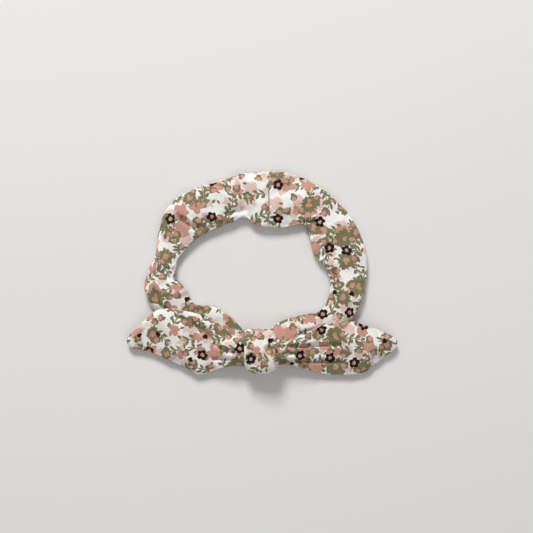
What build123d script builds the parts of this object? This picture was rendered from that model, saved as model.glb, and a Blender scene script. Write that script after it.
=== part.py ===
from build123d import *
import os

# A tie-knot fabric headband, lying flat: a sewn ring of printed cotton whose two ends are tied in one
# knot, with the ends left out to both sides as two pointed tails. Millimetres, +Z up, resting on Z = 0.
# The origin is the middle of the headband's plan on the resting plane. The bow is towards -Y and the
# centre-back seam towards +Y. "Left" is -X.
#
# Every stretch of the strip is a turned tube: a face panel above, a lining panel below and a soft
# interlining inside. The tube's cross-section is an ellipse, lofted through stations along the strip.

FABRIC = 0.8  # cotton panel, with the seam allowance pressed inside it
EASE = 0.3  # room round the strip where it passes through the knot
FILL_ACROSS = 0.9  # shares of the room inside the tube that the interlining fills
FILL_UP = 0.72
EDGE_GAP = 0.4  # turned edge between a face panel and its lining
REST_FLAT = 0.3  # how far the underside is pressed flat where it rests on the table

SEAM_X = 7.0  # centre-back seam, where the left and right halves are joined
SEAM_GAP = 1.2  # groove of that seam
SEAM_OVERLAP = 6.0  # each half is drawn this far past the seam, and cut back to it
SEAM_Y = 73.5
SEAM_WIDTH = 57.0
SEAM_HEIGHT = 13.0

FOLD_Y = 38.0  # the ring folds along this line, across both of its sides
FOLD_GAP = 0.6

KNOT_X, KNOT_Y = 0.0, -78.5
KNOT_LENGTH = 34.0  # along X, the way the strip passes through
KNOT_DEPTH = 45.5  # along Y
KNOT_HEIGHT = 28.0
KNOT_SHOULDER = 0.72  # size of the knot's two ends against its middle
CORE_DEPTH = 27.0  # the strip where it passes through the wrap
CORE_HEIGHT = 13.0
CORE_LENGTH = 37.0

THREAD = 0.5
STITCH_PITCH = 2.5
STITCHED_SHARE = 0.86  # share of the seam's width where the stitches can be seen

# The two halves of the ring, from the centre-back seam round to the knot: x, y, width, height.
LEFT_BAND = [
    (SEAM_X + SEAM_OVERLAP, SEAM_Y, SEAM_WIDTH, SEAM_HEIGHT),
    (SEAM_X - SEAM_OVERLAP, SEAM_Y, SEAM_WIDTH, SEAM_HEIGHT),
    (-17, 76.5, 48, 13),
    (-40, 70.5, 42, 13),
    (-64, 60, 42, 13),
    (-83, 44, 39, 13),
    (-93, 27, 29, 12),
    (-97.5, 9, 24, 12),
    (-100.5, -5, 29, 12),
    (-98, -17, 38, 12),
    (-91, -29, 39, 9.5),
    (-77, -41, 35, 7.5),
    (-57, -47.5, 29, 7.5),
    (-37, -56, 25, 7.5),
    (-21, -66, 20, 8),
]
RIGHT_BAND = [
    (SEAM_X - SEAM_OVERLAP, SEAM_Y, SEAM_WIDTH, SEAM_HEIGHT),
    (SEAM_X + SEAM_OVERLAP, SEAM_Y, SEAM_WIDTH, SEAM_HEIGHT),
    (28, 72.5, 54, 13),
    (48, 66.5, 45, 13),
    (62, 54, 43, 13),
    (74.5, 36, 45, 13),
    (83, 15, 43, 12.5),
    (87, -3, 37, 12),
    (85, -19, 36, 12),
    (78, -34, 34, 10),
    (64, -46, 30, 8),
    (46, -51, 26, 7.5),
    (30, -56.5, 24, 7.5),
    (20, -63, 19, 8),
]
SECTIONS_PER_HALF = 28  # evenly spaced sections that each half of the ring is lofted through
BACK_SECTIONS = slice(0, 14)  # both stretches are drawn past the fold, and cut back to it
STRAP_SECTIONS = slice(8, SECTIONS_PER_HALF)

# The tails, from the knot out to the tip: x, then y and z of the upper edge, y and z of the lower edge,
# and thickness. They lie over the ring and slope down to the table at the front.
LEFT_TAIL = [
    (-20.5, -66, 17, -92, 14, 9),
    (-30, -60.5, 17, -93, 12, 9.5),
    (-45, -47.5, 16, -97.5, 8, 9),
    (-62, -41.5, 15.5, -101.5, 5, 8),
    (-84, -36, 15.5, -93.5, 6, 7.5),
    (-106, -38, 14.5, -84.5, 6, 7),
    (-122, -52, 11, -78.5, 6, 6),
    (-132, -63, 8, -74, 6, 4.5),
    (-135.5, -67, 7, -70.5, 6, 3.2),
]
RIGHT_TAIL = [
    (20.5, -68, 17, -91, 14, 9),
    (28, -66.5, 17, -92, 12, 9.5),
    (38, -62, 16.5, -96.5, 9, 9),
    (55, -54.5, 16, -100, 7, 8),
    (75, -49.5, 15.5, -101.5, 6, 7.5),
    (92, -48.5, 14, -100.5, 5.5, 7),
    (113, -54, 11, -90, 6, 6.5),
    (127, -59.5, 9, -78.5, 6, 5.5),
    (133, -65, 7.5, -74.5, 6, 4),
    (135.5, -68.5, 7, -72, 6, 3.2),
]

seam_plane = Plane(origin=(SEAM_X, 0, 0), x_dir=(0, 1, 0), z_dir=(1, 0, 0))
fold_plane = Plane(origin=(0, FOLD_Y, 0), x_dir=(1, 0, 0), z_dir=(0, 1, 0))
BACK = (fold_plane.offset(FOLD_GAP / 2), Keep.TOP)
FRONT = (fold_plane.offset(-FOLD_GAP / 2), Keep.BOTTOM)
LEFT_OF_SEAM = (seam_plane.offset(-SEAM_GAP / 2), Keep.BOTTOM)
RIGHT_OF_SEAM = (seam_plane.offset(SEAM_GAP / 2), Keep.TOP)
TABLE = (Plane.XY, Keep.TOP)
FACE, LINING = 1, -1


def eased(position, stops, values):
    """The value at a position along the strip, eased from each stop to the next."""
    for start, stop, low, high in zip(stops, stops[1:], values, values[1:]):
        if position <= stop:
            share = (position - start) / (stop - start)
            return low + (high - low) * share**2 * (3 - 2 * share)
    return values[-1]


def band_sections(stations):
    """Planes square to the strip's centre line, with the ellipse's half width and half height."""
    points = [Vector(x, y) for x, y, width, height in stations]
    with BuildLine() as line:
        centre_line = Spline(*points)
    stops = [centre_line.param_at_point(point) for point in points]
    sections = []
    for count in range(SECTIONS_PER_HALF):
        position = count / (SECTIONS_PER_HALF - 1)
        width = eased(position, stops, [station[2] for station in stations])
        height = eased(position, stops, [station[3] for station in stations])
        heading = centre_line.tangent_at(position)
        middle = centre_line.position_at(position) + Vector(0, 0, height / 2 - REST_FLAT)
        section_plane = Plane(middle, x_dir=(-heading.Y, heading.X, 0), z_dir=heading)
        sections.append((section_plane, width / 2, height / 2))
    return sections


def tail_sections(stations):
    """Planes square to X, each rolled so that the ellipse's long axis joins the tail's two edges."""
    sections = []
    for x, upper_y, upper_z, lower_y, lower_z, thickness in stations:
        across = Vector(0, upper_y - lower_y, upper_z - lower_z)
        middle = (x, (upper_y + lower_y) / 2, (upper_z + lower_z) / 2)
        section_plane = Plane(middle, x_dir=across, z_dir=(1, 0, 0))
        sections.append((section_plane, across.length / 2, thickness / 2))
    return sections


def cloth_panel(label, sections, side, trims=()):
    """One sewn panel: the face half or the lining half of the tube's wall."""
    with BuildPart() as panel:
        for plane, half_width, half_height in sections:
            with BuildSketch(plane):
                Ellipse(half_width, half_height)
                Ellipse(half_width - FABRIC, half_height - FABRIC, mode=Mode.SUBTRACT)
                with Locations((0, -side * half_height)):
                    Rectangle(2 * half_width, 2 * half_height + EDGE_GAP, mode=Mode.SUBTRACT)
        loft()
        for trim_plane, kept_side in trims:
            split(bisect_by=trim_plane, keep=kept_side)
    panel.part.label = label
    return panel


def interlining(label, sections, trims=()):
    """The soft filling inside a face panel and its lining."""
    with BuildPart() as filling:
        for plane, half_width, half_height in sections:
            with BuildSketch(plane):
                Ellipse(FILL_ACROSS * (half_width - FABRIC), FILL_UP * (half_height - FABRIC))
        loft()
        for trim_plane, kept_side in trims:
            split(bisect_by=trim_plane, keep=kept_side)
    filling.part.label = label
    return filling


def tube(name, sections, trims=()):
    """The three layers of one stretch of the strip."""
    return [
        cloth_panel(f"{name}_face", sections, FACE, trims),
        cloth_panel(f"{name}_lining", sections, LINING, trims),
        interlining(f"{name}_interlining", sections, trims),
    ]


pieces = []
for side_name, band, seam_cut in (("left", LEFT_BAND, LEFT_OF_SEAM), ("right", RIGHT_BAND, RIGHT_OF_SEAM)):
    sections = band_sections(band)
    pieces += tube(f"{side_name}_back", sections[BACK_SECTIONS], (seam_cut, BACK, TABLE))
    pieces += tube(f"{side_name}_strap", sections[STRAP_SECTIONS], (FRONT, TABLE))
pieces += tube("left_tail", tail_sections(LEFT_TAIL))
pieces += tube("right_tail", tail_sections(RIGHT_TAIL))

# The outer turn of the knot: a barrel-shaped sleeve of cloth round the strip, pressed flat underneath.
with BuildPart() as knot_wrap:
    for share, size in ((-0.5, KNOT_SHOULDER), (0, 1), (0.5, KNOT_SHOULDER)):
        middle = (KNOT_X + share * KNOT_LENGTH, KNOT_Y, KNOT_HEIGHT / 2 - REST_FLAT)
        with BuildSketch(Plane(middle, x_dir=(0, 1, 0), z_dir=(1, 0, 0))):
            Ellipse(size * KNOT_DEPTH / 2, size * KNOT_HEIGHT / 2)
    loft()
    split(bisect_by=Plane.XY, keep=Keep.TOP)
    passage = Plane((KNOT_X, KNOT_Y, KNOT_HEIGHT / 2), x_dir=(0, 1, 0), z_dir=(1, 0, 0))
    with BuildSketch(passage):
        Ellipse(CORE_DEPTH / 2 + EASE, CORE_HEIGHT / 2 + EASE)
    extrude(amount=KNOT_LENGTH, both=True, mode=Mode.SUBTRACT)
knot_wrap.part.label = "knot_wrap"
pieces.append(knot_wrap)

# The strip where it passes through the knot.
with BuildPart() as knot_core:
    with BuildSketch(passage):
        Ellipse(CORE_DEPTH / 2, CORE_HEIGHT / 2)
    extrude(amount=CORE_LENGTH / 2, both=True)
knot_core.part.label = "knot_core"
pieces.append(knot_core)

# The thread of the centre-back seam, seen as short bars across the seam's groove, above and below.
with BuildPart() as centre_back_stitches:
    half_width, half_height = SEAM_WIDTH / 2, SEAM_HEIGHT / 2
    stitches_each_way = int(half_width * STITCHED_SHARE / STITCH_PITCH)
    for count in range(-stitches_each_way, stitches_each_way + 1):
        offset_y = count * STITCH_PITCH
        rise = (half_height - FABRIC / 2) * (1 - (offset_y / half_width) ** 2) ** 0.5
        for height in (half_height - REST_FLAT + rise, half_height - REST_FLAT - rise):
            if height > THREAD:
                with Locations((SEAM_X, SEAM_Y + offset_y, height)):
                    Cylinder(THREAD / 2, SEAM_GAP - 0.1, rotation=(0, 90, 0))
centre_back_stitches.part.label = "centre_back_stitches"
pieces.append(centre_back_stitches)

os.makedirs("parts", exist_ok=True)
for piece in pieces:
    export_step(piece.part, f"parts/{piece.part.label}.step")
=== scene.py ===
import math

import bmesh
import bpy
import numpy as np
from mathutils import Matrix, Vector


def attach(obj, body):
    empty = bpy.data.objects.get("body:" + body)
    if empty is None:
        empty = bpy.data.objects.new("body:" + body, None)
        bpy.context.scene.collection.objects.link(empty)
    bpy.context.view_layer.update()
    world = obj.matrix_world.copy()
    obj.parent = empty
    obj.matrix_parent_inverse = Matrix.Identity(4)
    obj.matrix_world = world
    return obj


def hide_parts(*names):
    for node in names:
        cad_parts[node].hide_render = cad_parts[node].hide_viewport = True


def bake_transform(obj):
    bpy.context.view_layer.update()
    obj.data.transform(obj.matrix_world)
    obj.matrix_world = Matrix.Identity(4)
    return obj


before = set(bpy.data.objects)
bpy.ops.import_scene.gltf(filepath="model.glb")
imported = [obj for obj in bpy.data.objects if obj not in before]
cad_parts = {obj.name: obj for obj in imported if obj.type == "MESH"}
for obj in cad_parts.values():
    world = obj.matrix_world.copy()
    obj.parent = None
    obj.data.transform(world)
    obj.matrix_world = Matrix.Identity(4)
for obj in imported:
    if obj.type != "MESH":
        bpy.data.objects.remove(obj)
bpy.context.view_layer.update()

# A tie-knot headband of printed cotton, lying flat. The shapes below are in millimetres, in the frame of
# the CAD model: +Z up, the bow towards -Y, the centre-back seam towards +Y.
MM = 0.001

# ---------------------------------------------------------------------------------------------------
# Shapes
# ---------------------------------------------------------------------------------------------------

SEAM_X = 7.0
SEAM_HALF_GAP = 0.05
SEAM_OUTER_Y, SEAM_INNER_Y = 102.6, 45.6
BAND_HEIGHT = 13
BAND_LIFT = 0.3  # the underside presses this far into the table before it is flattened

# A strip is drawn as a ladder: each rung joins one edge to the other.
# Rungs of the bands: outer x, y, inner x, y, height of the tube, lift of its middle above lying flat.
LEFT_RUNGS = [
    (SEAM_X - SEAM_HALF_GAP, SEAM_OUTER_Y, SEAM_X - SEAM_HALF_GAP, SEAM_INNER_Y, BAND_HEIGHT, 0),
    (-7, 102, -6, 48.5, 13, 0),
    (-22, 100, -17.5, 56, 12.5, 0),
    (-37, 95, -30, 51.5, 13, 0),
    (-57, 88.5, -43, 46, 13, 0),
    (-75, 81.5, -57, 39.5, 13, 0),
    (-91, 71, -67, 33, 13, 0),
    (-99, 57, -77, 23, 12.5, 0),
    (-103, 43, -83, 15.5, 12, 0),
    (-108, 18, -86.5, 6, 12, 0),
    (-115, 0, -87, -4.5, 12, 0),
    (-118, -12, -81, -10, 12.5, 0),
    (-115, -24, -75, -18, 12, 0),
    (-107, -38, -68.5, -29.5, 9.5, 0),
    (-90, -56, -60, -32, 8, 0),
    (-65, -62, -46, -34.5, 7.5, 0),
    (-45, -65, -30.5, -45, 6.5, 0.6),
    (-29, -70.5, -18, -57.5, 6.5, 2.2),
    (-14, -82, -7, -68, 8, 6),
]
RIGHT_RUNGS = [
    (SEAM_X + SEAM_HALF_GAP, SEAM_OUTER_Y, SEAM_X + SEAM_HALF_GAP, 46, BAND_HEIGHT, 0),
    (22, 101.5, 20, 46.3, 13, 0),
    (36, 97.5, 32, 47.3, 13, 0),
    (48, 92.5, 41, 49, 13, 0),
    (62, 84, 46, 44, 13, 0),
    (76, 72, 48, 36, 13, 0),
    (89, 56, 51.5, 22, 13, 0),
    (98.5, 39, 57, 13, 12.5, 0),
    (104, 22, 63, 6.5, 12.5, 0),
    (105.3, 6, 66.8, -3, 12, 0),
    (104, -9, 68, -12, 12, 0),
    (100.5, -24, 66.5, -22, 11.5, 0),
    (95, -39, 62.5, -32.5, 10, 0),
    (85, -54, 55.5, -38.5, 8, 0),
    (66, -64, 43, -41, 7.5, 0.5),
    (47, -65.5, 29, -44.5, 7, 1.5),
    (32, -69, 16.5, -49.5, 8.5, 4),
    (20, -76, 6, -58, 10.5, 8),
    (9, -86, 0, -68, 10, 10),
]

# Rungs of the tails and the knot: far edge x, y, z, near edge x, y, z, thickness.
LEFT_TAIL_RUNGS = [
    (-7, -68, 15, -7, -88, 14, 9),
    (-18, -65.5, 16.5, -17, -92.5, 12.5, 10.5),
    (-29, -60.5, 17, -28, -92.5, 11.5, 10.5),
    (-39, -53, 17, -38, -94, 9, 10.5),
    (-50, -45, 16.5, -49, -97.5, 6.5, 10),
    (-63, -40, 16, -62.5, -102.3, 4.5, 8.5),
    (-80, -36.8, 16, -76, -95.5, 5, 8),
    (-94, -34.6, 15, -90, -89, 5.5, 7.5),
    (-105, -36, 13.5, -103, -83.5, 5.5, 7),
    (-116, -45, 11, -113, -79, 5.5, 6.5),
    (-126, -55.5, 9, -123, -76.3, 5.5, 5.5),
    (-133.2, -61.8, 7.5, -131.4, -74.5, 5.5, 4.5),
    (-136.2, -65.4, 6.5, -135.8, -70.4, 6, 2.5),
]
RIGHT_TAIL_RUNGS = [
    (6, -70, 15, 6, -90, 14, 9),
    (17, -71, 16.5, 17, -91, 13, 11),
    (28, -66.5, 17, 28, -92, 11, 11),
    (38, -61.5, 17, 38, -95, 9, 10.5),
    (50, -55.5, 16.5, 49, -98, 7, 10),
    (62, -51, 16, 61, -100.5, 5.5, 9),
    (77, -48.3, 15, 76, -101.7, 5, 8.5),
    (91, -47.8, 13.5, 92, -101.5, 5, 8),
    (103, -51, 12, 104, -99, 5, 7.5),
    (114, -55, 10.5, 113, -91.5, 5, 7),
    (124, -59.3, 9, 122, -84.2, 5, 6),
    (132, -63.4, 7.5, 130.8, -78.4, 5.5, 4.5),
    (136.2, -67.8, 6.5, 136, -72.6, 6, 2.5),
]

# The knot is the outer turn of the strip, drawn as a short fat tube along X.
KNOT_RUNGS = [
    (-13.5, -70, 13.5, -12, -85, 13.5, 11),
    (-17.5, -64, 13.5, -16.5, -89.5, 13.5, 17),
    (-18.6, -60, 13.5, -17.8, -92.4, 13.5, 21.5),
    (-16.6, -57.5, 13.7, -14.8, -95.2, 13.5, 24),
    (-10, -55.6, 13.8, -9.5, -98.0, 13.6, 26),
    (0, -55.4, 13.9, -1.5, -99.4, 13.7, 27),
    (8, -56.4, 13.8, 7.5, -98.6, 13.6, 26.4),
    (12.5, -59.5, 13.6, 13.2, -94.8, 13.5, 24),
    (15, -65, 13.5, 16.4, -89.6, 13.5, 20),
    (12, -72, 13.5, 14.4, -85, 13.5, 11),
]

SEAM_RINGS = (0.7, 1.4, 2.2)  # extra rings close to the seam keep its edge tight
SEAM_GROOVE = 2.6  # how much flatter the tube is where the seam pulls it in
EDGE_GROOVE = 0.4  # the sewn and turned edges lie this deep between the two panels
FULLNESS = 0.72  # below 1, the tube's section is fuller than an ellipse
HELD_RINGS = 3  # rings at each end that the simulation leaves where they are, like the two edges
LINING_SHIFT = np.array([310.0, 170.0])  # the lining is cut from another part of the same cloth


def through(stops, values, at):
    """Smooth curve through the values at the stops, read at other positions."""
    slopes = np.gradient(values, stops, axis=0)
    index = np.clip(np.searchsorted(stops, at, side="right") - 1, 0, len(stops) - 2)
    span = (stops[index + 1] - stops[index])[:, None]
    share = (at[:, None] - stops[index][:, None]) / span
    rise = share**2 * (3 - 2 * share)
    leave = share * (1 - share) ** 2
    arrive = share**2 * (share - 1)
    return (
        values[index] * (1 - rise)
        + values[index + 1] * rise
        + span * (leave * slopes[index] + arrive * slopes[index + 1])
    )


def ladder(rungs, step, crisp_start):
    """Evenly spaced rungs: outer edge points, inner edge points and thickness."""
    rungs = np.array(rungs, float)
    if rungs.shape[1] == 6:
        middle_height = rungs[:, 4] / 2 - BAND_LIFT + rungs[:, 5]
        edges = (rungs[:, 0], rungs[:, 1], middle_height, rungs[:, 2], rungs[:, 3], middle_height)
        rungs = np.stack(edges + (rungs[:, 4],), axis=1)
    middle = (rungs[:, 0:3] + rungs[:, 3:6]) / 2
    stops = np.concatenate([[0], np.cumsum(np.linalg.norm(np.diff(middle, axis=0), axis=1))])
    count = round(stops[-1] / step)
    places = np.linspace(0, stops[-1], count + 1)
    if crisp_start:
        places = np.concatenate([[0], SEAM_RINGS, places[1:]])
    rows = through(stops, rungs, places)
    if crisp_start:
        rows[:2, 6] -= (SEAM_GROOVE, SEAM_GROOVE / 3)
    return rows[:, 0:3], rows[:, 3:6], rows[:, 6]


def tube_points(rungs, step, around, crisp_start, cut_from, seamless):
    """Ring by ring, the points of a puffed tube, and where each point lies on the flat printed cloth."""
    outer, inner, thickness = ladder(rungs, step, crisp_start)
    centre, across = (outer + inner) / 2, (outer - inner) / 2
    along = np.gradient(centre, axis=0)
    up = np.cross(along, across)
    up /= np.linalg.norm(up, axis=1)[:, None]
    up *= np.sign(up[:, 2:3])
    angle = np.linspace(0, 2 * math.pi, around, endpoint=False)
    lift = np.sign(np.sin(angle)) * np.abs(np.sin(angle)) ** FULLNESS
    points = (
        centre[:, None]
        + across[:, None] * np.cos(angle)[None, :, None]
        + up[:, None] * (thickness / 2)[:, None, None] * lift[None, :, None]
    )
    if not seamless:
        edge = np.zeros(around)
        edge[[0, around // 2]] = EDGE_GROOVE / np.linalg.norm(across, axis=1).mean()
        points -= across[:, None] * (edge * np.cos(angle))[None, :, None]
    flat_across = across[:, :2] / np.linalg.norm(across[:, :2], axis=1)[:, None]
    steps = np.linalg.norm(np.diff(points, axis=1, append=points[:, :1]), axis=2)
    reach = np.concatenate([np.zeros((len(points), 1)), np.cumsum(steps, axis=1)], axis=1)
    top, underneath = around // 4, 3 * around // 4
    from_top = reach[:, top : top + 1] - reach
    if seamless:
        from_start = from_top + reach[:, -1:]
        shift = 0
    else:
        from_start = reach - reach[:, underneath : underneath + 1]
        shift = LINING_SHIFT
    face_cloth, lining_cloth = (
        centre[:, None, :2] + flat_across[:, None] * distance[:, :, None] + cut_from
        for distance in (from_top, from_start)
    )
    return points, face_cloth, lining_cloth + shift


def face_outwards(mesh):
    """Turns every face of a closed mesh outwards."""
    working = bmesh.new()
    working.from_mesh(mesh)
    bmesh.ops.recalc_face_normals(working, faces=working.faces)
    working.to_mesh(mesh)
    working.free()


def tube_mesh(name, rungs, step, around, crisp_start, cut_from, seamless):
    """A closed tube of quads with its cloth coordinates in metres in the UV map."""
    points, face_cloth, lining_cloth = tube_points(rungs, step, around, crisp_start, cut_from, seamless)
    rings = len(points)
    face_ends = 3 * around // 4 if seamless else around // 2
    faces, corners = [], []
    for ring in range(rings - 1):
        for place in range(around):
            quad = [(ring, place), (ring, place + 1), (ring + 1, place + 1), (ring + 1, place)]
            cloth = face_cloth if place < face_ends else lining_cloth
            faces.append([r * around + (p % around) for r, p in quad])
            corners.append([cloth[r, p] for r, p in quad])
    for ring in (0, rings - 1):
        order = range(around) if ring else range(around - 1, -1, -1)
        faces.append([ring * around + place for place in order])
        corners.append([face_cloth[ring, place] for place in order])
    mesh = bpy.data.meshes.new(name)
    mesh.from_pydata((points.reshape(-1, 3) * MM).tolist(), [], faces)
    layer = mesh.uv_layers.new(name="cloth")
    layer.data.foreach_set("uv", (np.concatenate([np.array(c) for c in corners]) * MM).ravel())
    face_outwards(mesh)
    mesh.shade_smooth()
    mesh.update()
    piece = bpy.data.objects.new(name, mesh)
    bpy.context.scene.collection.objects.link(piece)
    held = [
        ring * around + place
        for ring in range(rings)
        for place in range(around)
        if min(ring, rings - 1 - ring) < HELD_RINGS or place % (around // 2) == 0
    ]
    piece.vertex_groups.new(name="held").add(held, 1.0, "REPLACE")
    return piece


def coordinates(mesh):
    co = np.empty(len(mesh.vertices) * 3)
    mesh.vertices.foreach_get("co", co)
    return co.reshape(-1, 3)


def outward(mesh):
    normals = np.empty(len(mesh.vertices) * 3)
    mesh.vertices.foreach_get("normal", normals)
    return normals.reshape(-1, 3)


def set_coordinates(mesh, co):
    mesh.vertices.foreach_set("co", np.ascontiguousarray(co, float).ravel())
    mesh.update()


def baked(piece):
    """Puts the result of the piece's modifiers into its own mesh."""
    graph = bpy.context.evaluated_depsgraph_get()
    mesh = bpy.data.meshes.new_from_object(piece.evaluated_get(graph))
    piece.modifiers.clear()
    piece.data = mesh
    return piece


TINY = 1e-9
SIMULATED_FRAMES = 20
SIMULATED_SHARE = 0.28  # share of the padding under a point that it may move by, so that faces never cross
CLOTH_SETTINGS = {
    "quality": 8,
    "mass": 0.15,
    "tension_stiffness": 25,
    "compression_stiffness": 25,
    "shear_stiffness": 10,
    "bending_stiffness": 0.05,
    "use_pressure": True,
    "uniform_pressure_force": 1.0,
    "vertex_group_mass": "held",
}


def padding(co, around):
    """Distance from each point of a tube to the point opposite it, through the padding."""
    rings = co.reshape(-1, around, 3)
    opposite = rings[:, -np.arange(around) % around]
    return np.linalg.norm(rings - opposite, axis=2).ravel()


def inflate(piece, around, growth, cap):
    """Cloth simulation: the tube fills with air and its cloth, cut too large, buckles between the edges."""
    rest = coordinates(piece.data)
    cloth = piece.modifiers.new("cloth", "CLOTH")
    for setting, value in CLOTH_SETTINGS.items():
        setattr(cloth.settings, setting, value)
    cloth.settings.shrink_min = -growth
    cloth.settings.effector_weights.gravity = 0
    cloth.point_cache.frame_start = 1
    cloth.point_cache.frame_end = SIMULATED_FRAMES
    scene = bpy.context.scene
    for moment in range(1, SIMULATED_FRAMES + 1):
        scene.frame_set(moment)
    baked(piece)
    moved = coordinates(piece.data) - rest
    allowed = np.minimum(cap * MM, SIMULATED_SHARE * padding(rest, around))
    reach = np.maximum(np.linalg.norm(moved, axis=1), TINY)
    set_coordinates(piece.data, rest + moved * np.minimum(1, allowed / reach)[:, None])
    scene.frame_set(1)


def refine(piece, levels):
    subdivide = piece.modifiers.new("subdivide", "SUBSURF")
    subdivide.levels = levels
    subdivide.render_levels = levels
    subdivide.uv_smooth = "NONE"
    baked(piece)


def settle(piece):
    """Presses the underside flat where it lies on the table."""
    co = coordinates(piece.data)
    co[:, 2] = np.maximum(co[:, 2], 0)
    set_coordinates(piece.data, co)


HINGE_HEIGHT = 13.2 * MM
HINGE_EASING = 2.0 * MM
FOLDED_FROM, FOLDED_FULLY = -45, -35  # the easing starts and is full at these y, behind the knot


def keep_below_hinge(piece):
    """Eases the highest cloth down, so that the ring's two halves lie flat on each other when folded."""
    co = coordinates(piece.data)
    over = np.maximum(co[:, 2] - (HINGE_HEIGHT - HINGE_EASING), 0)
    behind_knot = np.clip((co[:, 1] / MM - FOLDED_FROM) / (FOLDED_FULLY - FOLDED_FROM), 0, 1)
    co[:, 2] -= (over - HINGE_EASING * np.tanh(over / HINGE_EASING)) * behind_knot
    set_coordinates(piece.data, co)


def tube_piece(
    name, rungs, cut_from, step=3.0, around=40, growth=0.05, cap=2.0, crisp_start=False, seamless=False
):
    """A finished tube. A seamless one shows one cloth all round, and its print breaks only underneath."""
    piece = tube_mesh(name, rungs, step, around, crisp_start, cut_from, seamless)
    inflate(piece, around, growth, cap)
    layer = piece.data.attributes.new("padding", "FLOAT", "POINT")
    layer.data.foreach_set("value", padding(coordinates(piece.data), around))
    refine(piece, 2)
    settle(piece)
    return piece


CREASED_SHARE = 0.55  # share of the padding below it that a crease may press in
CREASE_FACING = 3  # the higher, the steeper the cloth may be where a crease still has its full depth
CREASE_FADE = 0.6  # the lower, the closer to its ends a crease stays deep


def crease(piece, path, depth, width, ridge=0.0, ridge_away=3.0):
    """A furrow in the upper surface along a path, fading at both ends, with a roll of cloth on its left."""
    co = coordinates(piece.data)
    facing_up = np.clip(outward(piece.data)[:, 2] * CREASE_FACING, 0, 1)
    path = np.array(path, float)
    legs = np.diff(path, axis=0)
    lengths = np.linalg.norm(legs, axis=1)
    starts = np.concatenate([[0], np.cumsum(lengths)])
    nearest = np.full(len(co), np.inf)
    place, side = np.zeros(len(co)), np.zeros(len(co))
    for start, leg, length, travelled in zip(path, legs, lengths, starts):
        offset = co[:, :2] / MM - start
        share = np.clip(offset @ leg / length**2, 0, 1)
        away = offset - share[:, None] * leg
        distance = np.linalg.norm(away, axis=1)
        closer = distance < nearest
        nearest = np.where(closer, distance, nearest)
        place = np.where(closer, (travelled + share * length) / starts[-1], place)
        side = np.where(closer, np.sign(leg[0] * away[:, 1] - leg[1] * away[:, 0]), side)
    fade = np.sin(np.pi * np.clip(place, 0, 1)) ** CREASE_FADE
    furrow = depth * np.exp(-((nearest / width) ** 2))
    roll = ridge * np.exp(-(((nearest - ridge_away) / ridge_away) ** 2)) * (side > 0)
    left = np.empty(len(co))
    layer = piece.data.attributes["padding"].data
    layer.foreach_get("value", left)
    drop = np.minimum((furrow - roll) * fade * facing_up * MM, CREASED_SHARE * left)
    co[:, 2] -= drop
    layer.foreach_set("value", left - drop)
    set_coordinates(piece.data, co)


# A lobe, in parts of its reach from its centre: its rim, the furrow round it and how wide they are.
RIM, RIM_WIDTH = 1.1, 0.3
FURROW, FURROW_WIDTH, FURROW_SHARE = 1.2, 0.14, 0.8
LOBE_FROM, LOBE_FULLY = 15, 21  # heights where a lobe starts to rise and rises fully


def lobe(piece, centre, reach, tilt, rise):
    """A raised fold of cloth on the upper surface: an oval with a rounded rim and a furrow outside it."""
    co = coordinates(piece.data)
    offset = co[:, :2] / MM - centre
    across = (offset[:, 0] * math.cos(tilt) + offset[:, 1] * math.sin(tilt)) / reach[0]
    along = (offset[:, 1] * math.cos(tilt) - offset[:, 0] * math.sin(tilt)) / reach[1]
    out = np.hypot(across, along)
    share = np.clip((RIM - out) / RIM_WIDTH, 0, 1)
    raised = rise * share**2 * (3 - 2 * share)
    furrow = FURROW_SHARE * rise * np.exp(-(((out - FURROW) / FURROW_WIDTH) ** 2))
    upper = np.clip((co[:, 2] / MM - LOBE_FROM) / (LOBE_FULLY - LOBE_FROM), 0, 1)
    co += outward(piece.data) * ((raised - furrow) * upper)[:, None] * MM
    set_coordinates(piece.data, co)


STITCH_PITCH = 2.5
STITCH_LENGTH = 1.7
STITCH_SLANT = math.radians(24)
THREAD_RADIUS = 0.28
STITCHED_FAR_Y, STITCHED_NEAR_Y = 100.5, 48.0


def stitches(name):
    """A row of short slanted thread loops along the groove of the centre-back seam, above and below."""
    working = bmesh.new()
    middle_y = (STITCHED_FAR_Y + STITCHED_NEAR_Y) / 2
    middle_height = BAND_HEIGHT / 2 - BAND_LIFT
    half_width = (SEAM_OUTER_Y - SEAM_INNER_Y) / 2
    slant = Matrix.Rotation(STITCH_SLANT, 4, "Z") @ Matrix.Rotation(math.pi / 2, 4, "Y")
    shape = slant @ Matrix.Diagonal((THREAD_RADIUS, THREAD_RADIUS, STITCH_LENGTH / 2, 1))
    for count in range(int((STITCHED_FAR_Y - STITCHED_NEAR_Y) / STITCH_PITCH) + 1):
        y = STITCHED_NEAR_Y + count * STITCH_PITCH
        bulge = (1 - ((y - middle_y) / half_width) ** 2) ** (FULLNESS / 2)
        for side in (1, -1):
            height = middle_height + side * (BAND_HEIGHT - SEAM_GROOVE) / 2 * bulge
            place = Matrix.Scale(MM, 4) @ Matrix.Translation((SEAM_X, y, height)) @ shape
            bmesh.ops.create_uvsphere(working, u_segments=10, v_segments=8, radius=1.0, matrix=place)
    # The spheres' faces come in a different order each run, so they are sorted.
    working.verts.index_update()
    faces = sorted([corner.index for corner in face.verts] for face in working.faces)
    mesh = bpy.data.meshes.new(name)
    mesh.from_pydata([corner.co for corner in working.verts], [], faces)
    mesh.shade_smooth()
    working.free()
    piece = bpy.data.objects.new(name, mesh)
    bpy.context.scene.collection.objects.link(piece)
    return piece


seam_thread = stitches("seam_thread")
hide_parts("centre_back_stitches")
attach(seam_thread, "back")

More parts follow.
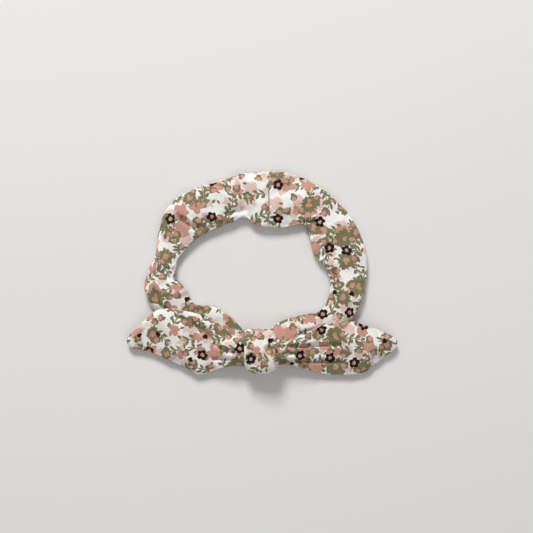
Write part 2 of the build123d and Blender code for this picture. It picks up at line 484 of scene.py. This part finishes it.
pieces = {
    "left_band": tube_piece("left_band", LEFT_RUNGS, cut_from=(0, 0), crisp_start=True),
    "right_band": tube_piece("right_band", RIGHT_RUNGS, cut_from=(138, 64), crisp_start=True),
    "knot": tube_piece("knot", KNOT_RUNGS, cut_from=(-83, 41), step=2.0, cap=1.2, seamless=True),
    "left_tail": tube_piece("left_tail", LEFT_TAIL_RUNGS, cut_from=(29, -146)),
    "right_tail": tube_piece("right_tail", RIGHT_TAIL_RUNGS, cut_from=(-57, 203)),
}

# Creases of each piece: path, depth, width, and the roll of cloth beside it if there is one.
CREASES = {
    "left_band": [
        dict(path=[(-87, 61), (-80, 54), (-69, 47), (-56, 47)], depth=5.0, width=2.6, ridge=1.5),
        dict(path=[(-14, 63), (-25, 62), (-42, 57)], depth=2.4, width=2.8, ridge=0.5),
        dict(path=[(-18, 60), (-18.5, 70), (-14, 82)], depth=2.2, width=3.5),
        dict(path=[(-108, -12), (-106, -25), (-101, -37)], depth=3.4, width=2.4, ridge=1.0),
        dict(path=[(-96, -4), (-85, -6), (-72, -12)], depth=2.0, width=3.5),
    ],
    "right_band": [
        dict(path=[(37, 51.5), (48, 53), (61, 54.5)], depth=5.0, width=2.0, ridge=1.8),
        dict(path=[(73, 5), (74.5, -7), (75, -20)], depth=4.5, width=1.8, ridge=1.4),
        dict(path=[(31, -65), (46, -58.5), (62, -52)], depth=1.6, width=2.0, ridge=0.6),
    ],
    "left_tail": [
        dict(
            path=[(-89, -42.5), (-77, -47), (-58, -58.5), (-44, -70)],
            depth=3.4,
            width=3.4,
            ridge=0.8,
            ridge_away=4.5,
        ),
        dict(path=[(-52, -70), (-38, -75.5), (-22, -80.5)], depth=3.6, width=2.4, ridge=1.2),
        dict(path=[(-52, -85.4), (-40, -85.6), (-24, -85.2)], depth=3.6, width=1.4, ridge=0.8),
    ],
    "right_tail": [
        dict(path=[(10, -73.2), (34, -72.6), (60, -71.5), (84, -71.5)], depth=4.2, width=2.0, ridge=1.2),
        dict(path=[(10, -87), (34, -87.6), (58, -88), (84, -89)], depth=4.2, width=2.0, ridge=1.2),
        dict(path=[(14, -80), (28, -80.5), (46, -81)], depth=1.6, width=2.0),
    ],
    "knot": [
        dict(path=[(-15, -50), (-12, -72), (-14, -104)], depth=1.6, width=2.2),
        dict(path=[(-5, -50), (-3, -74), (-7, -104)], depth=1.3, width=2.6),
        dict(path=[(11, -60), (8, -67), (7.5, -75)], depth=2.2, width=2.0),
    ],
}
for name, creases in CREASES.items():
    for settings in creases:
        crease(pieces[name], **settings)

# The overlapping fold on the knot, with the tuck where it starts.
lobe(pieces["knot"], centre=(9.2, -85.5), reach=(7.2, 11.0), tilt=0.18, rise=1.7)
crease(pieces["knot"], path=[(3, -77), (8, -74), (13, -76.5)], depth=2.4, width=1.5)

keep_below_hinge(pieces["left_band"])
keep_below_hinge(pieces["right_band"])
for piece in pieces.values():
    piece.data.attributes.remove(piece.data.attributes["padding"])

LAYERS = ("face", "lining", "interlining")
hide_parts("knot_wrap", "knot_core")
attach(pieces["knot"], "front")
for side in ("left", "right"):
    band = [f"{side}_{part}_{layer}" for part in ("back", "strap") for layer in LAYERS]
    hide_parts(*band)
    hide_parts(*(f"{side}_tail_{layer}" for layer in LAYERS))
    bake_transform(pieces[f"{side}_band"])
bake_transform(pieces["left_tail"])
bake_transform(pieces["right_tail"])

# ---------------------------------------------------------------------------------------------------
# Printed cotton
# ---------------------------------------------------------------------------------------------------

IVORY = (0.83, 0.81, 0.77)
OLIVE = (0.185, 0.172, 0.085)
ROSE = (0.525, 0.275, 0.215)
BLUSH = (0.7, 0.52, 0.46)
INK = (0.012, 0.008, 0.005)


class Graph:
    """Writes a material's nodes as expressions: each call makes a node and returns its output."""

    def __init__(self, tree):
        self.tree = tree

    def node(self, kind, inputs=(), **settings):
        made = self.tree.nodes.new(kind)
        for key, value in settings.items():
            setattr(made, key, value)
        for key, value in dict(inputs).items():
            if isinstance(value, bpy.types.NodeSocket):
                self.tree.links.new(value, made.inputs[key])
            else:
                made.inputs[key].default_value = value
        return made

    def math(self, operation, *values, clamp=False):
        made = self.node("ShaderNodeMath", dict(enumerate(values)), operation=operation, use_clamp=clamp)
        return made.outputs[0]

    def vector(self, operation, *values):
        made = self.node("ShaderNodeVectorMath", dict(enumerate(values)), operation=operation)
        return made.outputs["Value" if operation in ("LENGTH", "DOT_PRODUCT") else "Vector"]

    def scaled(self, vector, factor):
        return self.node("ShaderNodeVectorMath", {0: vector, "Scale": factor}, operation="SCALE").outputs[0]

    def split(self, vector):
        return self.node("ShaderNodeSeparateXYZ", {0: vector}).outputs

    def plane(self, vector):
        return self.split(vector)[:2]

    def mix(self, share, under, over):
        made = self.node("ShaderNodeMix", {0: share}, data_type="RGBA")
        for key, value in ((6, under), (7, over)):
            if isinstance(value, bpy.types.NodeSocket):
                self.tree.links.new(value, made.inputs[key])
            else:
                made.inputs[key].default_value = (*value, 1)
        return made.outputs[2]

    def noise(self, vector, scale, detail=1.0):
        return self.node(
            "ShaderNodeTexNoise",
            {"Vector": vector, "Scale": scale, "Detail": detail},
            noise_dimensions="2D",
        ).outputs


STEM_HALF_WIDTH = 0.5 * MM
LEAF_PITCH = 5.8 * MM
LEAF_LENGTH = 6.2 * MM
EDGE_SOFTNESS = 0.25 * MM  # how far the ink bleeds at a motif's edge
LOOSE_DRAWING, TIGHT_DRAWING = 5.5 * MM, 2.0 * MM  # how far large and small motifs stray from their outline


def inside(graph, room):
    """1 where the room left inside a motif's outline is positive, 0 outside it."""
    return graph.math("ADD", graph.math("DIVIDE", room, EDGE_SOFTNESS), 0.5, clamp=True)


def scattered(graph, cloth, spacing, seed, jitter=0.75):
    """The nearest of many scattered motifs: its own turned coordinates, and random numbers."""
    shift = (seed * 7.31, seed * 3.77, 0)
    place = graph.vector("ADD", graph.scaled(cloth, 1 / spacing), shift)
    cell = graph.node(
        "ShaderNodeTexVoronoi",
        {"Vector": place, "Scale": 1.0, "Randomness": jitter},
        voronoi_dimensions="2D",
    )
    local = graph.scaled(graph.vector("SUBTRACT", place, cell.outputs["Position"]), spacing)
    chance = graph.split(cell.outputs["Color"])
    turn = graph.math("MULTIPLY", chance[0], 2 * math.pi)
    turned = graph.node("ShaderNodeVectorRotate", {"Vector": local, "Angle": turn}, rotation_type="Z_AXIS")
    return turned.outputs[0], chance


def chosen(graph, chance, share):
    return graph.math("LESS_THAN", chance, share)


def grown(graph, chance, radius, spread):
    """A radius that differs from motif to motif by up to the spread either way."""
    return graph.math("MULTIPLY_ADD", chance, 2 * spread * radius, (1 - spread) * radius)


def blossom(graph, local, radius, petals, depth):
    """Room left inside a flower's outline: rounded petals round a centre."""
    x, y = graph.plane(local)
    reach = graph.vector("LENGTH", local)
    angle = graph.math("ARCTAN2", y, x)
    wave = graph.math("ABSOLUTE", graph.math("COSINE", graph.math("MULTIPLY", angle, petals / 2)))
    bulge = graph.math("POWER", wave, 0.6)
    outline = graph.math("MULTIPLY_ADD", bulge, depth, 1 - depth)
    return graph.math("SUBTRACT", graph.math("MULTIPLY", outline, radius), reach)


def leaf(graph, x, y, length, width):
    """Room left inside a pointed leaf lying along x."""
    end = graph.math("DIVIDE", x, length / 2)
    body = graph.math("SUBTRACT", 1, graph.math("MULTIPLY", end, end))
    return graph.math("SUBTRACT", graph.math("MULTIPLY", body, width / 2), graph.math("ABSOLUTE", y))


def sprig(graph, local, length, bow):
    """Room left inside a bowed stem with pairs of leaves slanting forward."""
    x, y = graph.plane(local)
    bowed = graph.math("SUBTRACT", y, graph.math("MULTIPLY", graph.math("MULTIPLY", x, x), bow))
    beside = graph.math("ABSOLUTE", bowed)
    stem = graph.math("SUBTRACT", STEM_HALF_WIDTH, beside)
    along = graph.math("SUBTRACT", graph.math("FLOORED_MODULO", x, LEAF_PITCH), LEAF_PITCH / 2)
    off_stem = graph.math("SUBTRACT", beside, LEAF_LENGTH * 0.42)
    ahead = graph.math("MULTIPLY", graph.math("ADD", along, off_stem), math.sqrt(0.5))
    aside = graph.math("MULTIPLY", graph.math("SUBTRACT", off_stem, along), math.sqrt(0.5))
    drawn = graph.math("MAXIMUM", stem, leaf(graph, ahead, aside, LEAF_LENGTH, LEAF_LENGTH * 0.46))
    ends = graph.math("SUBTRACT", length / 2, graph.math("ABSOLUTE", x))
    return graph.math("MINIMUM", drawn, ends)


def printed_colour(graph, cloth):
    """The flower print, laid down one ink after another."""
    wobble = graph.vector("SUBTRACT", graph.noise(cloth, 190)["Color"], (0.5, 0.5, 0.5))
    loose = graph.vector("ADD", cloth, graph.scaled(wobble, LOOSE_DRAWING))
    tight = graph.vector("ADD", cloth, graph.scaled(wobble, TIGHT_DRAWING))
    colour = graph.mix(graph.noise(cloth, 40)["Fac"], IVORY, tuple(0.94 * c for c in IVORY))

    def ink(room, shade, picked):
        nonlocal colour
        mask = graph.math("MULTIPLY", inside(graph, room), picked)
        colour = graph.mix(mask, colour, shade)

    # pale blossoms
    local, chance = scattered(graph, loose, spacing=13 * MM, seed=1)
    size = grown(graph, chance[2], radius=5.2 * MM, spread=0.4)
    ink(blossom(graph, local, size, petals=5, depth=0.25), BLUSH, chosen(graph, chance[1], share=0.72))
    # sprigs and dashes
    for seed, bow in ((2, 24.0), (12, -18.0)):
        local, chance = scattered(graph, tight, spacing=27 * MM, seed=seed, jitter=0.7)
        picked = chosen(graph, chance[1], share=0.8)
        ink(sprig(graph, local, length=24 * MM, bow=bow), OLIVE, picked)
    local, chance = scattered(graph, tight, spacing=9 * MM, seed=3)
    x, y = graph.plane(local)
    ink(leaf(graph, x, y, length=5.0 * MM, width=2.4 * MM), OLIVE, chosen(graph, chance[1], share=0.35))
    # rose blossoms
    local, chance = scattered(graph, loose, spacing=21 * MM, seed=4)
    size = grown(graph, chance[2], radius=6.9 * MM, spread=0.35)
    ink(blossom(graph, local, size, petals=4, depth=0.42), ROSE, chosen(graph, chance[1], share=0.62))
    # olive blooms with a rose heart
    local, chance = scattered(graph, loose, spacing=31 * MM, seed=5)
    picked = chosen(graph, chance[1], share=0.78)
    size = grown(graph, chance[2], radius=8.2 * MM, spread=0.3)
    ink(blossom(graph, local, size, petals=13, depth=0.3), OLIVE, picked)
    ink(blossom(graph, local, 3.2 * MM, petals=3, depth=0.3), ROSE, picked)
    # rose buds in an olive cup
    local, chance = scattered(graph, tight, spacing=14.5 * MM, seed=6)
    picked = chosen(graph, chance[1], share=0.62)
    cupped = graph.vector("ADD", local, (1.7 * MM, 0, 0))
    ink(blossom(graph, local, 4.1 * MM, petals=3, depth=0.45), OLIVE, picked)
    ink(blossom(graph, cupped, 2.5 * MM, petals=3, depth=0.2), ROSE, picked)
    # ink buds
    local, chance = scattered(graph, tight, spacing=23 * MM, seed=8)
    ink(blossom(graph, local, 2.5 * MM, petals=3, depth=0.3), INK, chosen(graph, chance[1], share=0.2))
    # ink flowers with a rose eye
    local, chance = scattered(graph, tight, spacing=31 * MM, seed=7, jitter=0.85)
    picked = chosen(graph, chance[1], share=0.5)
    ink(blossom(graph, local, 5.4 * MM, petals=5, depth=0.36), INK, picked)
    ink(blossom(graph, local, 1.9 * MM, petals=3, depth=0.15), ROSE, picked)
    return colour


THREAD_PITCH = 0.55 * MM
WEAVE_CONTRAST, FIBRE_CONTRAST = 0.04, 0.24
WEAVE_RELIEF = 0.12 * MM
TWIST_PITCH, TWIST_RELIEF = 0.4 * MM, 0.1 * MM
THREAD_DARK, THREAD_LIGHT = (0.62, 0.58, 0.5), (0.8, 0.77, 0.7)


def cotton(name):
    material = bpy.data.materials.new(name)
    material.use_nodes = True
    graph = Graph(material.node_tree)
    surface = material.node_tree.nodes["Principled BSDF"]
    cloth = graph.node("ShaderNodeUVMap", uv_map="cloth").outputs[0]
    x, y = graph.plane(cloth)
    warp = graph.math("SINE", graph.math("MULTIPLY", x, 2 * math.pi / THREAD_PITCH))
    weft = graph.math("SINE", graph.math("MULTIPLY", y, 2 * math.pi / THREAD_PITCH))
    weave = graph.math("MULTIPLY", warp, weft)
    slub = graph.noise(graph.vector("MULTIPLY", cloth, (1, 0.25, 1)), 1500)["Fac"]
    fibre = graph.math("MULTIPLY_ADD", slub, FIBRE_CONTRAST, 1 - FIBRE_CONTRAST / 2)
    shade = graph.math("MULTIPLY", fibre, graph.math("MULTIPLY_ADD", weave, WEAVE_CONTRAST, 1.0))
    colour = graph.scaled(printed_colour(graph, cloth), shade)
    height = graph.math("ADD", graph.math("MULTIPLY", weave, 0.5), slub)
    bump = graph.node("ShaderNodeBump", {"Strength": 0.35, "Distance": WEAVE_RELIEF, "Height": height})
    links = material.node_tree.links
    links.new(colour, surface.inputs["Base Color"])
    links.new(bump.outputs[0], surface.inputs["Normal"])
    links.new(graph.math("MULTIPLY_ADD", slub, 0.12, 0.8), surface.inputs["Roughness"])
    surface.inputs["Specular IOR Level"].default_value = 0.15
    surface.inputs["Sheen Weight"].default_value = 0.06
    surface.inputs["Sheen Roughness"].default_value = 0.5
    return material


def sewing_thread(name):
    material = bpy.data.materials.new(name)
    material.use_nodes = True
    graph = Graph(material.node_tree)
    surface = material.node_tree.nodes["Principled BSDF"]
    place = graph.node("ShaderNodeTexCoord").outputs["Object"]
    x, y = graph.plane(place)
    along = graph.math("ADD", x, y)
    twist = graph.math("SINE", graph.math("MULTIPLY", along, 2 * math.pi / TWIST_PITCH))
    colour = graph.mix(graph.math("MULTIPLY_ADD", twist, 0.5, 0.5), THREAD_DARK, THREAD_LIGHT)
    bump = graph.node("ShaderNodeBump", {"Strength": 0.5, "Distance": TWIST_RELIEF, "Height": twist})
    links = material.node_tree.links
    links.new(colour, surface.inputs["Base Color"])
    links.new(bump.outputs[0], surface.inputs["Normal"])
    links.new(graph.math("MULTIPLY_ADD", twist, 0.08, 0.55), surface.inputs["Roughness"])
    surface.inputs["Sheen Weight"].default_value = 0.2
    return material


seam_thread.data.materials.append(sewing_thread("sewing_thread"))

printed_cotton = cotton("printed_cotton")
for piece in pieces.values():
    piece.data.materials.clear()
    piece.data.materials.append(printed_cotton)

# ---------------------------------------------------------------------------------------------------
# Stage, light and camera
# ---------------------------------------------------------------------------------------------------


def table_top(half_side):
    mesh = bpy.data.meshes.new("table_top")
    corners = [(x * half_side, y * half_side, 0) for x, y in ((-1, -1), (1, -1), (1, 1), (-1, 1))]
    mesh.from_pydata(corners, [], [(0, 1, 2, 3)])
    floor = bpy.data.objects.new("table_top", mesh)
    bpy.context.scene.collection.objects.link(floor)
    paint = bpy.data.materials.new("pale_floor")
    paint.use_nodes = True
    surface = paint.node_tree.nodes["Principled BSDF"]
    surface.inputs["Base Color"].default_value = (0.72, 0.71, 0.69, 1)
    surface.inputs["Roughness"].default_value = 0.9
    mesh.materials.append(paint)


def area_light(name, place, size, power):
    lamp = bpy.data.lights.new(name, "AREA")
    lamp.size = size
    lamp.energy = power
    lamp_object = bpy.data.objects.new(name, lamp)
    lamp_object.location = place
    lamp_object.rotation_euler = (-Vector(place)).to_track_quat("-Z", "Y").to_euler()
    bpy.context.scene.collection.objects.link(lamp_object)


table_top(half_side=12.0)
area_light("key", (-0.5, 2.3, 1.8), size=0.9, power=82)
area_light("fill", (0.6, -1.6, 2.4), size=2.0, power=12)
world = bpy.data.worlds.new("studio")
world.use_nodes = True
world.node_tree.nodes["Background"].inputs["Color"].default_value = (1, 1, 1, 1)
world.node_tree.nodes["Background"].inputs["Strength"].default_value = 0.36
bpy.context.scene.world = world
bpy.context.scene.view_settings.view_transform = "Standard"

# The camera looks straight down, as in the photo.
FIELD = 0.533  # side of the square seen at the height of the cloth
CLOTH_HEIGHT = 0.012
LENS = 85.0
SENSOR = 36.0
camera = bpy.data.objects.new("camera", bpy.data.cameras.new("camera"))
camera.data.lens = LENS
camera.data.sensor_width = SENSOR
camera.location = (0.0045, 0.007, FIELD * LENS / SENSOR + CLOTH_HEIGHT)
bpy.context.scene.collection.objects.link(camera)
bpy.context.scene.camera = camera
